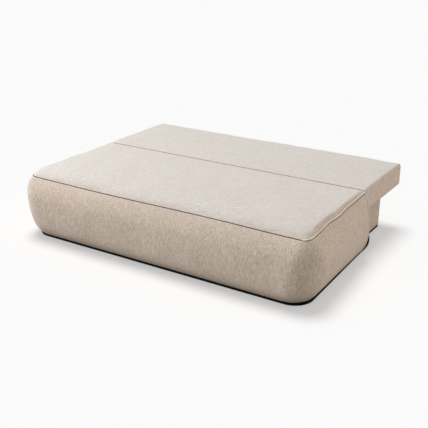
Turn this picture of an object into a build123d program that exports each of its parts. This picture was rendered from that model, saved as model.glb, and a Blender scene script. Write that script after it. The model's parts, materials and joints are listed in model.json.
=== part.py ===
"""A sofa bed shown as a bed: a pebble-shaped seat that rolls forward off a low rear base,
and a plain back panel that lies down behind it. Millimetres, +Z up, +X along the bed.
The origin is on the floor, under the middle of the whole bed."""

from build123d import *
from math import atan2, cos, degrees, radians, sin, tan
import os

os.makedirs("parts", exist_ok=True)

# Driving dimensions of the whole bed
bed_width = 1900.0  # across the back panel, and across the seat at its seam
bed_height = 418.0  # floor to the lying surface
seat_depth = 765.0  # front seam to the seat's rear face
back_depth = 614.0  # front to rear of the back panel, lying down
back_thickness = 145.0
seam_gap = 4.0  # open seam between the seat and the back panel
side_bulge = 80.0  # how far the pebble stands out past the panel's ends at each side
front_bulge = 62.0  # and past its seam at the front
corner_radius = 160.0  # plan radius of the pebble's front corners at their fullest
seam_front_drop = 35.0  # the seam round the seat starts low at the front
seam_rear_drop = 14.0  # and climbs towards the rear
plinth_height = 20.0
frame_set_back = 45.0  # the seat's timber frame stands this far inside the seam

# Driving dimensions of the rear base and the slide
slide_room = 15.7  # between the base and the seat's frame at each side, for the slides
base_depth = 810.0
base_overhang = 104.0  # how far the back panel reaches past the base
base_corner_radius = 20.0
slide_travel = 220.0

# Driving dimensions of the back hinge
pivot_set_back = 60.0  # from the panel's front edge
pivot_drop = 33.0  # below the panel's top
hinge_place = 700.0  # each hinge, from the middle
arm_bar = 18.0  # height of the arm that passes under the panel
arm_gap = 1.0  # from the arm to the panel
arm_over_base = 4.0

# Stock that the frame is made from
board = 18.0
rail = 40.0
cover = 8.0  # fabric over fleece
lining = 10.0
cloth = 1.6
hardboard = 4.0
steel = 3.0
piping_radius = 4.0
piping_sides = 8
rest_clearance = 0.3
running_clearance = 0.05
overrun = 5.0  # how far a cutting tool passes the face it opens

# Places that several pieces share
overall_depth = front_bulge + seat_depth + seam_gap + back_depth
seam_front_y = -overall_depth / 2 + front_bulge
seat_rear_y = seam_front_y + seat_depth
back_front_y = seat_rear_y + seam_gap
back_rear_y = back_front_y + back_depth
back_underside = bed_height - back_thickness
arm_top = back_underside - arm_gap
arm_bottom = arm_top - arm_bar
base_height = arm_bottom - arm_over_base
seam_front_height = bed_height - seam_front_drop
seam_rear_height = bed_height - seam_rear_drop
base_rear_y = back_rear_y - base_overhang
base_front_y = base_rear_y - base_depth
half_bed = bed_width / 2
frame_half_width = half_bed - frame_set_back
frame_half = frame_half_width - rest_clearance
base_half_width = frame_half - board - slide_room
pivot_y = back_front_y + pivot_set_back
pivot_z = bed_height - pivot_drop


def write(piece, name):
    """Label one finished piece and write it."""
    piece.part.label = name
    export_step(piece.part, f"parts/{name}.step")


def level_plane(front_height, rear_height):
    """A plane over the seat that passes through one height at the front seam and one at the rear."""
    tilt = degrees(atan2(rear_height - front_height, seat_depth))
    return Plane(origin=(0, seam_front_y, front_height), x_dir=(1, 0, 0),
                 z_dir=(0, -sin(radians(tilt)), cos(radians(tilt))))


def slope_length(front_height, rear_height, depth):
    """Length along such a plane that covers a level depth."""
    return depth / cos(atan2(rear_height - front_height, seat_depth))


def slab(x_low, x_high, y_low, y_high, z_low, z_high, mode=Mode.ADD):
    """A square-edged block between two corners, added to or cut from the part being made."""
    with BuildSketch(Plane.XY.offset(z_low)) as plan:
        with Locations(((x_low + x_high) / 2, (y_low + y_high) / 2)):
            Rectangle(x_high - x_low, y_high - y_low)
    extrude(plan.sketch, amount=z_high - z_low, mode=mode)


def seat_outline(front_side, rear_side, front_out, radius, depth):
    """Plan of the seat at one level: straight rear, round front corners, and straight sides
    that run from the corners' curve to the rear, a little nearer each other there."""
    half = half_bed + front_side
    lean = atan2(front_side - rear_side, depth - radius)
    centre_x, centre_y = half - radius, radius - front_out
    side_x, side_y = centre_x + radius * cos(lean), centre_y + radius * sin(lean)
    rear_x = side_x - (depth - side_y) * tan(lean)
    with BuildLine() as outline:
        Line((rear_x, depth), (side_x, side_y))
        CenterArc((centre_x, centre_y), radius, degrees(lean), -90 - degrees(lean))
        Line((centre_x, -front_out), (-centre_x, -front_out))
        CenterArc((-centre_x, centre_y), radius, 270, -90 - degrees(lean))
        Line((-side_x, side_y), (-rear_x, depth))
        Line((-rear_x, depth), (rear_x, depth))
    make_face(outline.edges())


# The pebble, level by level from the plinth to the seam: height, side bulge by the front
# corners, side bulge at the rear, front bulge and corner radius, each as a share of its size
pebble_shares = [
    (0.00, 0.12, -0.12, 0.30, 0.75),
    (0.03, 0.25, 0.04, 0.45, 0.79),
    (0.09, 0.46, 0.26, 0.68, 0.85),
    (0.18, 0.61, 0.38, 0.82, 0.92),
    (0.30, 0.75, 0.45, 0.92, 0.97),
    (0.42, 0.87, 0.41, 0.98, 0.99),
    (0.55, 0.95, 0.34, 1.00, 1.00),
    (0.68, 1.00, 0.30, 0.98, 0.97),
    (0.77, 0.93, 0.29, 0.86, 0.86),
    (0.85, 0.80, 0.27, 0.65, 0.70),
    (0.91, 0.62, 0.21, 0.44, 0.55),
    (0.96, 0.41, 0.13, 0.21, 0.41),
]
seam_side, seam_rear_side = 0.22 * side_bulge, 0.05 * side_bulge
seam_corner_radius = 45.0
frame_front_y = seam_front_y + frame_set_back
frame_rear_y = seat_rear_y - lining
shell_height = seam_front_height - plinth_height


def seam_tube(radius, past_rear):
    """A cord along the seam, up one side, round the front and down the other side. It has
    flat faces, which keeps the groove that it lies in plain."""
    end = slope_length(seam_front_height, seam_rear_height, seat_depth)
    lean = atan2(seam_side - seam_rear_side, end - seam_corner_radius)
    corner_x = half_bed + seam_side - seam_corner_radius
    side_x = corner_x + seam_corner_radius * cos(lean)
    side_y = seam_corner_radius + seam_corner_radius * sin(lean)
    end += past_rear
    rear_x = side_x - (end - side_y) * tan(lean)
    with BuildPart() as tube:
        with BuildLine(level_plane(seam_front_height, seam_rear_height)) as path:
            Line((rear_x, end), (side_x, side_y))
            CenterArc((corner_x, seam_corner_radius), seam_corner_radius,
                      degrees(lean), -90 - degrees(lean))
            Line((corner_x, 0), (-corner_x, 0))
            CenterArc((-corner_x, seam_corner_radius), seam_corner_radius,
                      270, -90 - degrees(lean))
            Line((-side_x, side_y), (-rear_x, end))
        with BuildSketch(path.line ^ 0) as section:
            RegularPolygon(radius, piping_sides)
        sweep(section.sketch, path=path.line)
    return tube.part


piping_groove = seam_tube(piping_radius + rest_clearance, overrun)

with BuildPart() as seat_shell:
    for height, side, rear_side, front, corner in pebble_shares:
        level = plinth_height + height * shell_height
        with BuildSketch(level_plane(level, level)):
            seat_outline(side * side_bulge, rear_side * side_bulge, front * front_bulge,
                         corner * corner_radius, seat_depth)
    with BuildSketch(level_plane(seam_front_height, seam_rear_height)):
        seat_outline(seam_side, seam_rear_side, 0, seam_corner_radius,
                     slope_length(seam_front_height, seam_rear_height, seat_depth))
    loft(ruled=True)
    slab(-frame_half_width, frame_half_width, frame_front_y, seat_rear_y + overrun,
         0, bed_height, Mode.SUBTRACT)
    add(piping_groove, mode=Mode.SUBTRACT)
write(seat_shell, "seat_shell")

with BuildPart() as seat_piping:
    add(seam_tube(piping_radius, -piping_radius / 2))
write(seat_piping, "seat_piping")

# The seat: timber frame, slats, cushion, plinth and rear cover
frame_bottom = 25.0
seat_foam = 110.0  # over the slats
slat_thickness = 8.0
slat_width = 58.0
slat_count = 14
frame_top = bed_height - seat_foam - slat_thickness
cushion_bottom = bed_height - seat_foam + rest_clearance

for side, name in ((-1, "left"), (1, "right")):
    with BuildPart() as seat_side_board:
        outer = side * frame_half
        inner = side * (frame_half - board)
        slab(min(outer, inner), max(outer, inner), frame_front_y + board, frame_rear_y,
             frame_bottom, frame_top)
    write(seat_side_board, f"seat_side_board_{name}")

with BuildPart() as seat_front_board:
    slab(-frame_half, frame_half, frame_front_y + rest_clearance, frame_front_y + board,
         frame_bottom, frame_top)
write(seat_front_board, "seat_front_board")

rail_depth = 60.0
with BuildPart() as seat_rear_rail:
    slab(board - frame_half, frame_half - board, frame_rear_y - rail_depth, frame_rear_y,
         arm_top, frame_top)
write(seat_rear_rail, "seat_rear_rail")

with BuildPart() as seat_centre_beam:
    beam_y = (frame_front_y + frame_rear_y) / 2
    slab(board - frame_half, frame_half - board, beam_y - rail / 2, beam_y + rail / 2,
         arm_top, frame_top)
write(seat_centre_beam, "seat_centre_beam")

with BuildPart() as seat_slats:
    slat_pitch = 2 * (frame_half - board - slat_width / 2) / (slat_count - 1)
    with BuildSketch(Plane.XY.offset(frame_top)):
        with Locations((0, (frame_front_y + frame_rear_y) / 2)):
            with GridLocations(slat_pitch, slat_pitch, slat_count, 1):
                Rectangle(slat_width, frame_rear_y - frame_front_y - 2 * rest_clearance)
    extrude(amount=slat_thickness)
write(seat_slats, "seat_slats")

# The lying surface rolls over to its seam: rise from the seam to the top, and inset all
# round with the plan radius of the corners
crown_inset = 110.0
crown_corner_radius = 120.0
crown_rear_inset = 12.0
crown_shares = [
    (0.00, 0.00),
    (0.25, 0.02),
    (0.45, 0.06),
    (0.62, 0.11),
    (0.76, 0.18),
    (0.87, 0.28),
    (0.95, 0.45),
    (0.99, 0.70),
    (1.00, 1.00),
]
with BuildPart() as seat_cushion:
    for rise, inset in crown_shares:
        front_height = seam_front_height + rise * (bed_height - seam_front_height)
        rear_height = seam_rear_height + rise * (bed_height - seam_rear_height)
        level_depth = seat_depth - inset * crown_rear_inset
        with BuildSketch(level_plane(front_height, rear_height)):
            seat_outline(seam_side - inset * crown_inset, seam_rear_side - inset * crown_inset,
                         -inset * crown_inset,
                         seam_corner_radius + inset * (crown_corner_radius - seam_corner_radius),
                         slope_length(front_height, rear_height, level_depth))
    loft(ruled=True)
    with BuildSketch(Plane.YZ.offset(-frame_half)):
        with BuildLine() as core_side:
            Polyline(
                (frame_front_y + rest_clearance, cushion_bottom),
                (frame_rear_y - rest_clearance, cushion_bottom),
                (frame_rear_y - rest_clearance, seam_rear_height),
                (frame_front_y + rest_clearance, seam_front_height + rest_clearance),
                close=True,
            )
        make_face()
    extrude(amount=2 * frame_half)
    add(piping_groove, mode=Mode.SUBTRACT)
write(seat_cushion, "seat_cushion")

with BuildPart() as seat_rear_cover:
    slab(-frame_half, frame_half, frame_rear_y, seat_rear_y - cloth,
         arm_top, seam_rear_height - rest_clearance - cloth)
write(seat_rear_cover, "seat_rear_cover")

plinth_clearance = 3.0
plinth_inset = 6.0
# Two legs of the plinth run on behind the seat, straight and then curving in beside the base
leg_straight = 100.0
leg_curve = 190.0
leg_radius = 430.0
leg_gap = 6.0  # to the base
with BuildPart() as seat_plinth:
    _, plinth_side, plinth_rear_side, plinth_front, plinth_corner = pebble_shares[0]
    with BuildSketch(level_plane(plinth_clearance, plinth_clearance)):
        seat_outline(plinth_side * side_bulge - plinth_inset,
                     plinth_rear_side * side_bulge - plinth_inset,
                     plinth_front * front_bulge - plinth_inset,
                     plinth_corner * corner_radius - plinth_inset, seat_depth)
        with Locations((0, frame_set_back + seat_depth / 2)):
            Rectangle(2 * frame_half_width, seat_depth, mode=Mode.SUBTRACT)
        leg_outside = half_bed + plinth_rear_side * side_bulge - plinth_inset
        leg_inside = base_half_width + leg_gap
        leg_tip = leg_outside - leg_radius + (leg_radius**2 - leg_curve**2) ** 0.5
        bend, rear = seat_depth + leg_straight, seat_depth + leg_straight + leg_curve
        with BuildLine() as leg:
            Polyline((leg_tip, rear), (leg_inside, rear), (leg_inside, seat_depth - leg_gap),
                     (leg_outside, seat_depth - leg_gap), (leg_outside, bend))
            RadiusArc((leg_outside, bend), (leg_tip, rear), -leg_radius)
        make_face(leg.edges())
        mirror(about=Plane.YZ)
    extrude(amount=plinth_height - plinth_clearance)
write(seat_plinth, "seat_plinth")

# Four fixed castors under the front of the seat
castor_radius = 20.0
castor_width = 24.0
axle_radius = 4.0
castor_side_gap = 1.0
castor_count = 4
castor_pitch = 520.0
castor_beam_depth = 72.0
castor_beam_bottom = 48.0
bracket_depth = 36.0
bracket_foot = 64.0
bracket_skirt = 12.0  # cheek below the axle
castor_y = frame_front_y + board + castor_beam_depth / 2
bracket_inner = castor_width / 2 + castor_side_gap

with BuildPart() as castor_beam:
    slab(board - frame_half, frame_half - board, frame_front_y + board,
         frame_front_y + board + castor_beam_depth, castor_beam_bottom, castor_beam_bottom + board)
write(castor_beam, "castor_beam")

with BuildPart() as castor_brackets:
    with BuildSketch(Plane.XZ.offset(-castor_y - bracket_depth / 2)):
        with Locations((0, castor_beam_bottom - steel / 2)):
            with GridLocations(castor_pitch, castor_pitch, castor_count, 1):
                Rectangle(bracket_foot, steel)
        with Locations((0, (castor_beam_bottom + castor_radius - bracket_skirt) / 2)):
            with GridLocations(castor_pitch, castor_pitch, castor_count, 1):
                with Locations((-bracket_inner - steel / 2, 0), (bracket_inner + steel / 2, 0)):
                    Rectangle(steel, castor_beam_bottom - castor_radius + bracket_skirt)
    extrude(amount=bracket_depth)
    with BuildSketch(Plane.YZ.offset(-half_bed)):
        with Locations((castor_y, castor_radius)):
            Circle(axle_radius + running_clearance)
    extrude(amount=bed_width, mode=Mode.SUBTRACT)
write(castor_brackets, "castor_brackets")

castor_places = [castor_pitch * (i - (castor_count - 1) / 2) for i in range(castor_count)]
axle_half = bracket_inner + 2 * steel
with BuildPart() as castor_axles:
    for x in castor_places:
        with BuildSketch(Plane.YZ.offset(x - axle_half)):
            with Locations((castor_y, castor_radius)):
                Circle(axle_radius)
        extrude(amount=2 * axle_half)
write(castor_axles, "castor_axles")

for number, x in enumerate(castor_places, 1):
    with BuildPart() as castor_wheel:
        with BuildSketch(Plane.YZ.offset(x - castor_width / 2)):
            with Locations((castor_y, castor_radius)):
                Circle(castor_radius)
                Circle(axle_radius + running_clearance, mode=Mode.SUBTRACT)
        extrude(amount=castor_width)
    write(castor_wheel, f"castor_wheel_{number}")

# The slide: a channel on each side of the base, and a bar inside the seat that runs in it
channel_bottom = 100.0
channel_height = 34.0
channel_lip = 8.0
channel_wall = 2.0
channel_set_back = 15.0
bar_gap = 1.0
bar_wing = 5.0
bar_engagement = 260.0  # length that stays in the channel over the whole travel
bar_length = slide_travel + bar_engagement
bar_set_back = 20.0
bar_top = channel_bottom + channel_height
bar_web = frame_half - board  # inner face of the seat's side board

for side, name in ((-1, "left"), (1, "right")):
    with BuildPart() as base_channel:
        with BuildSketch(Plane.XZ.offset(-base_front_y)):
            with Locations((side * (base_half_width + channel_lip / 2),
                            channel_bottom + channel_height / 2)):
                Rectangle(channel_lip, channel_height)
            with Locations((side * (base_half_width + channel_wall + channel_lip / 2),
                            channel_bottom + channel_height / 2)):
                Rectangle(channel_lip, channel_height - 2 * channel_wall, mode=Mode.SUBTRACT)
        extrude(amount=base_front_y - seat_rear_y + channel_set_back)
    write(base_channel, f"base_channel_{name}")

    with BuildPart() as slide_bar:
        tongue_low = base_half_width + channel_wall + bar_gap
        tongue_high = base_half_width + channel_lip + bar_gap
        with BuildSketch(Plane.XZ.offset(-seat_rear_y + bar_set_back + bar_length)):
            with Locations((side * (tongue_low + bar_web) / 2, channel_bottom + channel_height / 2)):
                Rectangle(bar_web - tongue_low,
                          channel_height - 2 * channel_wall - bar_gap)
            with Locations((side * (tongue_high + bar_web) / 2, channel_bottom + channel_height / 2)):
                Rectangle(bar_web - tongue_high, channel_height + 2 * bar_wing)
        extrude(amount=-bar_length)
    write(slide_bar, f"slide_bar_{name}")

# The rear base: an open storage box with a padded wall that carries the lying back panel
base_floor_height = 14.0
glide_height = 5.0
corner_block = 28.0
support_depth = 50.0
support_rounding = 14.0
board_half = base_half_width - cover  # outside of the base's boards
wall_rear = base_rear_y - cover
wall_front = wall_rear - board
support_top = back_underside - rest_clearance
wall_top = support_top - support_rounding - cover

for side, name in ((-1, "left"), (1, "right")):
    with BuildPart() as base_side_board:
        outer = side * board_half
        inner = side * (board_half - board)
        slab(min(outer, inner), max(outer, inner), base_front_y, wall_front,
             glide_height, base_height)
    write(base_side_board, f"base_side_board_{name}")

with BuildPart() as base_front_board:
    slab(board - board_half, board_half - board, base_front_y, base_front_y + board,
         glide_height, base_height)
write(base_front_board, "base_front_board")

with BuildPart() as base_rear_board:
    slab(-board_half, board_half, wall_front, wall_rear, glide_height, wall_top)
write(base_rear_board, "base_rear_board")

with BuildPart() as base_floor:
    slab(board - board_half, board_half - board, base_front_y + board, wall_front,
         base_floor_height, base_floor_height + 2 * hardboard)
write(base_floor, "base_floor")

with BuildPart() as base_divider:
    slab(-board / 2, board / 2, base_front_y + board, wall_front,
         base_floor_height + 2 * hardboard, base_height)
write(base_divider, "base_divider")

with BuildPart() as base_corner_blocks:
    block_x = board_half - board - corner_block / 2
    block_pitch = wall_front - base_front_y - board - corner_block
    with BuildSketch(Plane.XY.offset(base_floor_height + 2 * hardboard)):
        with Locations((0, (base_front_y + board + wall_front) / 2)):
            with GridLocations(2 * block_x, block_pitch, 2, 2):
                Rectangle(corner_block, corner_block)
    extrude(amount=base_height - base_floor_height - 2 * hardboard - cover)
write(base_corner_blocks, "base_corner_blocks")

with BuildPart() as base_glides:
    glide_pitch = (wall_front - base_front_y - 2 * corner_block) / 2
    with BuildSketch(Plane.XY):
        with Locations((0, (base_front_y + wall_front) / 2)):
            with GridLocations(2 * board_half - board, glide_pitch, 2, 3):
                Rectangle(board, board)
        with Locations((0, wall_front + board / 2)):
            Rectangle(board, board)
    extrude(amount=glide_height)
write(base_glides, "base_glides")

with BuildPart() as base_cover:
    with BuildSketch(Plane.XY.offset(plinth_height)) as band:
        with Locations((0, (base_front_y + base_rear_y) / 2)):
            Rectangle(2 * base_half_width, base_depth)
        fillet(band.vertices().group_by(Axis.Y)[-1], base_corner_radius)
        with Locations((0, (base_front_y + wall_rear) / 2 - overrun)):
            Rectangle(2 * board_half, wall_rear - base_front_y + 2 * overrun, mode=Mode.SUBTRACT)
    extrude(amount=base_height - plinth_height)
write(base_cover, "base_cover")

with BuildPart() as base_plinth:
    plinth_outside = base_half_width - plinth_inset / 3
    plinth_rear = base_rear_y - plinth_inset / 3
    with BuildSketch(Plane.XY.offset(glide_height)) as band:
        with Locations((0, (base_front_y + plinth_rear) / 2)):
            Rectangle(2 * plinth_outside, plinth_rear - base_front_y)
        fillet(band.vertices().group_by(Axis.Y)[-1], base_corner_radius - plinth_inset / 3)
        with Locations((0, (base_front_y + wall_rear) / 2 - overrun)):
            Rectangle(2 * board_half, wall_rear - base_front_y + 2 * overrun, mode=Mode.SUBTRACT)
    extrude(amount=plinth_height - glide_height)
write(base_plinth, "base_plinth")

with BuildPart() as rear_support_pad:
    with BuildSketch(Plane.XY.offset(base_height)) as pad_plan:
        with Locations((0, base_rear_y - support_depth / 2)):
            Rectangle(2 * base_half_width, support_depth)
        fillet(pad_plan.vertices().group_by(Axis.Y)[-1], base_corner_radius)
    extrude(amount=support_top - base_height)
    fillet(rear_support_pad.faces().sort_by(Axis.Z)[-1].edges(), support_rounding)
    slab(-board_half, board_half, wall_front, wall_rear,
         base_height - overrun, wall_top, Mode.SUBTRACT)
write(rear_support_pad, "rear_support_pad")

# The back panel: an upholstered slab over a timber ladder, its front end sloped back underneath
panel_top_radius = 22.0
panel_heel_radius = 30.0
panel_rear_radius = 20.0
panel_end_radius = 14.0
panel_nose = 50.0  # upright part of the front end, above its slope
heel_set_back = 62.0  # how far the front end slopes back by the underside
end_wall = 30.0
rear_wall = 20.0
top_foam = 55.0
ladder_set_back = 100.0
ladder_front_y = back_front_y + ladder_set_back
ladder_rear_y = back_rear_y - rear_wall
ladder_half = half_bed - end_wall
ladder_top = bed_height - top_foam
slot_half = 12.0
slot_headroom = 20.0
slot_top = pivot_z + slot_headroom

with BuildPart() as back_pad:
    with BuildSketch(Plane.YZ.offset(-half_bed)):
        with BuildLine():
            FilletPolyline(
                (back_front_y, bed_height),
                (back_rear_y, bed_height),
                (back_rear_y, back_underside),
                (back_front_y + heel_set_back, back_underside),
                (back_front_y, bed_height - panel_nose),
                radius=[panel_top_radius, panel_rear_radius, panel_rear_radius,
                        panel_heel_radius, panel_heel_radius],
                close=True,
            )
        make_face()
    extrude(amount=bed_width)
    end_faces = back_pad.faces().sort_by(Axis.X)
    fillet(end_faces[0].edges() + end_faces[-1].edges(), panel_end_radius)
    slab(-ladder_half, ladder_half, ladder_front_y, ladder_rear_y,
         back_underside - overrun, ladder_top, Mode.SUBTRACT)
    for side in (-1, 1):
        slab(side * hinge_place - slot_half, side * hinge_place + slot_half,
             back_front_y - overrun, ladder_front_y + overrun,
             back_underside - overrun, slot_top, Mode.SUBTRACT)
write(back_pad, "back_pad")

bottom_cloth_low = back_underside + rest_clearance
ladder_low = bottom_cloth_low + cloth + hardboard
with BuildPart() as back_cloth:
    slab(-ladder_half, ladder_half, ladder_front_y, ladder_rear_y,
         bottom_cloth_low, bottom_cloth_low + cloth)
write(back_cloth, "back_cloth")

with BuildPart() as back_board:
    slab(-ladder_half, ladder_half, ladder_front_y, ladder_rear_y,
         bottom_cloth_low + cloth, ladder_low)
write(back_board, "back_board")

clevis_flange = 5.0
front_rail_y = ladder_front_y + clevis_flange
with BuildPart() as back_front_rail:
    slab(-ladder_half, ladder_half, front_rail_y, front_rail_y + rail, ladder_low, ladder_top)
write(back_front_rail, "back_front_rail")

with BuildPart() as back_rear_rail:
    slab(-ladder_half, ladder_half, ladder_rear_y - rail, ladder_rear_y, ladder_low, ladder_top)
write(back_rear_rail, "back_rear_rail")

stile_count = 5
with BuildPart() as back_stiles:
    stile_pitch = (2 * ladder_half - rail) / (stile_count - 1)
    stile_front, stile_rear = front_rail_y + rail, ladder_rear_y - rail
    with BuildSketch(Plane.XY.offset(ladder_low)):
        with Locations((0, (stile_front + stile_rear) / 2)):
            with GridLocations(stile_pitch, stile_pitch, stile_count, 1):
                Rectangle(rail, stile_rear - stile_front)
    extrude(amount=ladder_top - ladder_low)
write(back_stiles, "back_stiles")

# The back hinges: an angled arm on the seat reaches under the panel and up to a clevis inside it
arm_half = 4.0
arm_limb = 24.0
arm_reach = 80.0  # under the seat's rear rail
arm_eye = 13.0
pin_radius = 6.0
pin_head_radius = 8.0
pin_head = 2.0
ear_gap = 1.0
ear_thickness = 4.0
ear_eye = 16.0
ear_low = 66.0  # lower edge of the ears, below the pivot
flange_half = 34.0
foot_half = 30.0
foot_thickness = 6.0
screw_radius = 3.0
screw_head_radius = 6.0
screw_head = 4.0
screw_pitch = 36.0
screw_row = frame_rear_y - rail_depth / 2
ear_outer = arm_half + ear_gap + ear_thickness
clevis_rear = front_rail_y

for side, name in ((-1, "left"), (1, "right")):
    middle = side * hinge_place

    with BuildPart() as hinge_arm:
        with BuildSketch(Plane.YZ.offset(middle - arm_half)):
            with BuildLine():
                Polyline(
                    (seat_rear_y - arm_reach, arm_bottom),
                    (pivot_y + arm_limb / 2, arm_bottom),
                    (pivot_y + arm_limb / 2, pivot_z),
                    (pivot_y - arm_limb / 2, pivot_z),
                    (pivot_y - arm_limb / 2, arm_top),
                    (seat_rear_y - arm_reach, arm_top),
                    close=True,
                )
            make_face()
            with Locations((pivot_y, pivot_z)):
                Circle(arm_eye)
                Circle(pin_radius + running_clearance, mode=Mode.SUBTRACT)
        extrude(amount=2 * arm_half)
        slab(middle - foot_half, middle + foot_half, seat_rear_y - arm_reach,
             seat_rear_y - lining, arm_top - foot_thickness, arm_top)
        with BuildSketch(Plane.XY.offset(arm_top - foot_thickness)):
            with Locations((middle, screw_row)):
                with GridLocations(screw_pitch, screw_pitch, 2, 1):
                    Circle(screw_radius + running_clearance)
        extrude(amount=foot_thickness, mode=Mode.SUBTRACT)
    write(hinge_arm, f"hinge_arm_{name}")

    with BuildPart() as hinge_clevis:
        with BuildSketch(Plane.YZ.offset(middle - ear_outer)):
            with BuildLine():
                Polyline(
                    (pivot_y - ear_eye / 2, pivot_z),
                    (pivot_y, pivot_z + ear_eye),
                    (clevis_rear, ladder_top),
                    (clevis_rear, pivot_z - ear_low),
                    (pivot_y, pivot_z - ear_eye),
                    close=True,
                )
            make_face()
            with Locations((pivot_y, pivot_z)):
                Circle(ear_eye)
                Circle(pin_radius + running_clearance, mode=Mode.SUBTRACT)
        extrude(amount=2 * ear_outer)
        slab(middle - arm_half - ear_gap, middle + arm_half + ear_gap,
             back_front_y, clevis_rear - clevis_flange, back_underside, bed_height, Mode.SUBTRACT)
        slab(middle - flange_half, middle + flange_half, clevis_rear - clevis_flange, clevis_rear,
             pivot_z - ear_low, ladder_top)
    write(hinge_clevis, f"hinge_clevis_{name}")

    with BuildPart() as hinge_pin:
        with BuildSketch(Plane.YZ.offset(middle - ear_outer)):
            with Locations((pivot_y, pivot_z)):
                Circle(pin_radius)
        extrude(amount=2 * ear_outer)
        for head_x in (middle - ear_outer - pin_head, middle + ear_outer):
            with BuildSketch(Plane.YZ.offset(head_x)):
                with Locations((pivot_y, pivot_z)):
                    Circle(pin_head_radius)
            extrude(amount=pin_head)
    write(hinge_pin, f"hinge_pin_{name}")

with BuildPart() as hinge_screws:
    with BuildSketch(Plane.XY.offset(arm_top - foot_thickness - screw_head)):
        with Locations((-hinge_place, screw_row), (hinge_place, screw_row)):
            with GridLocations(screw_pitch, screw_pitch, 2, 1):
                RegularPolygon(screw_head_radius, 6)
    extrude(amount=screw_head)
    with BuildSketch(Plane.XY.offset(arm_top - foot_thickness)):
        with Locations((-hinge_place, screw_row), (hinge_place, screw_row)):
            with GridLocations(screw_pitch, screw_pitch, 2, 1):
                Circle(screw_radius)
    extrude(amount=foot_thickness)
write(hinge_screws, "hinge_screws")
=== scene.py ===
import json
import math
import bmesh
import bpy
import numpy as np
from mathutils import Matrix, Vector, noise
from mathutils.bvhtree import BVHTree


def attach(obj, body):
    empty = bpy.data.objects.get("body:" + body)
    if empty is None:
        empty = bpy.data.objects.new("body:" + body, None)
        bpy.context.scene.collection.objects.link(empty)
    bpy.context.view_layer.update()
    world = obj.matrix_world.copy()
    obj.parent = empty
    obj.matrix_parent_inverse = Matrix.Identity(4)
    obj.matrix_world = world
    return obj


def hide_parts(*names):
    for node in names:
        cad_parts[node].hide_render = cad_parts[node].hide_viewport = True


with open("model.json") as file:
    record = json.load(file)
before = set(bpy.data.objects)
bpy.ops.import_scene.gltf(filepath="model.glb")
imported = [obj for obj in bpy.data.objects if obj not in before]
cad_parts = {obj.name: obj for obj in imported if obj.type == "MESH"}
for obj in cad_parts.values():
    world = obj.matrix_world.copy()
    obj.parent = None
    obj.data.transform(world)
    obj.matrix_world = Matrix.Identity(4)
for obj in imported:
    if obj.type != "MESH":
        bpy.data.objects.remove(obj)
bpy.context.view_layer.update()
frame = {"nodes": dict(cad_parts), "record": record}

# Sofa bed, opened: metres, origin on the floor under the middle of the bed.
# These sizes are the ones that the solids have.
bed = {
    "halfWidth": 0.950,
    "top": 0.418,
    "seamFrontY": -0.6605,
    "seatDepth": 0.765,
    "seatRearY": 0.1045,
    "plinth": 0.020,
    "seamFront": 0.383,
    "seamRear": 0.404,
    "frameHalf": 0.905,  # inside of the padded shell
    "frameFrontY": -0.6155,
}
# The seam sags a little along the front, at the left and by the right corner.
seamSag = {
    "places": [(-0.35, 0.45, 0.0065), (0.80, 0.22, 0.0050)],  # x, width, depth
    "reach": 0.12,
}
# It steps in and out once along the sides, and fades out round the front corners.
seamWave = {
    "height": 0.007,
    "length": 0.30,
    "y": -0.345,
    "reach": 0.13,
    "fromX": 0.80,
    "fade": 0.10,
}


def smoothed(values, passes):
    # rounds off the corners of a table's column, its ends stay
    values = np.array(values, float)
    for _ in range(passes):
        values[1:-1] = (values[:-2] + 2 * values[1:-1] + values[2:]) / 4
    return values


def softStep(value, low, high):
    t = min(max((value - low) / (high - low), 0.0), 1.0)
    return t * t * (3 - 2 * t)


def putInScene(name, data):
    piece = bpy.data.objects.new(name, data)
    bpy.context.collection.objects.link(piece)
    return piece


def softPiece(name, mesh):
    # ends a bmesh as a smoothly shaded piece
    data = bpy.data.meshes.new(name)
    mesh.to_mesh(data)
    mesh.free()
    for face in data.polygons:
        face.use_smooth = True
    return putInScene(name, data)


def skinLoops(name, loops, weld=0.0):
    # a closed skin over loops of points that all have the same count
    mesh = bmesh.new()
    rings = [[mesh.verts.new(point) for point in loop] for loop in loops]
    count = len(rings[0])
    for low, high in zip(rings[:-1], rings[1:]):
        for i in range(count):
            j = (i + 1) % count
            mesh.faces.new((low[i], low[j], high[j], high[i]))
    for ring in (rings[0], rings[-1]):
        centre = mesh.verts.new(sum((vertex.co for vertex in ring), Vector()) / count)
        for i in range(count):
            mesh.faces.new((ring[i], ring[(i + 1) % count], centre))
    if weld:
        bmesh.ops.remove_doubles(mesh, verts=mesh.verts, dist=weld)
    bmesh.ops.recalc_face_normals(mesh, faces=mesh.faces)
    return softPiece(name, mesh)


def tube(name, path, radius, sides=10):
    # a round cord along a path of points
    path = [Vector(point) for point in path]
    turns = np.linspace(0, 2 * math.pi, sides, endpoint=False)
    loops = []
    for i, point in enumerate(path):
        along = (path[min(i + 1, len(path) - 1)] - path[max(i - 1, 0)]).normalized()
        guide = Vector((0, 0, 1)) if abs(along.z) < 0.9 else Vector((0, 1, 0))
        across = along.cross(guide).normalized()
        other = along.cross(across)
        loops.append([point + radius * (math.cos(turn) * across + math.sin(turn) * other) for turn in turns])
    return skinLoops(name, loops)


def ripple(piece, height, width, seed, hold):
    # moves the skin in and out by soft noise; hold(point) is 1 where it gives fully, 0 where it stays
    data = piece.data
    normals = [vertex.normal.copy() for vertex in data.vertices]
    shift = Vector((seed * 7.3, seed * 3.1, seed * 5.7))
    for vertex, normal in zip(data.vertices, normals):
        give = hold(vertex.co)
        if give:
            vertex.co += normal * height * give * noise.noise(vertex.co / width + shift)
    data.update()


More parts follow.
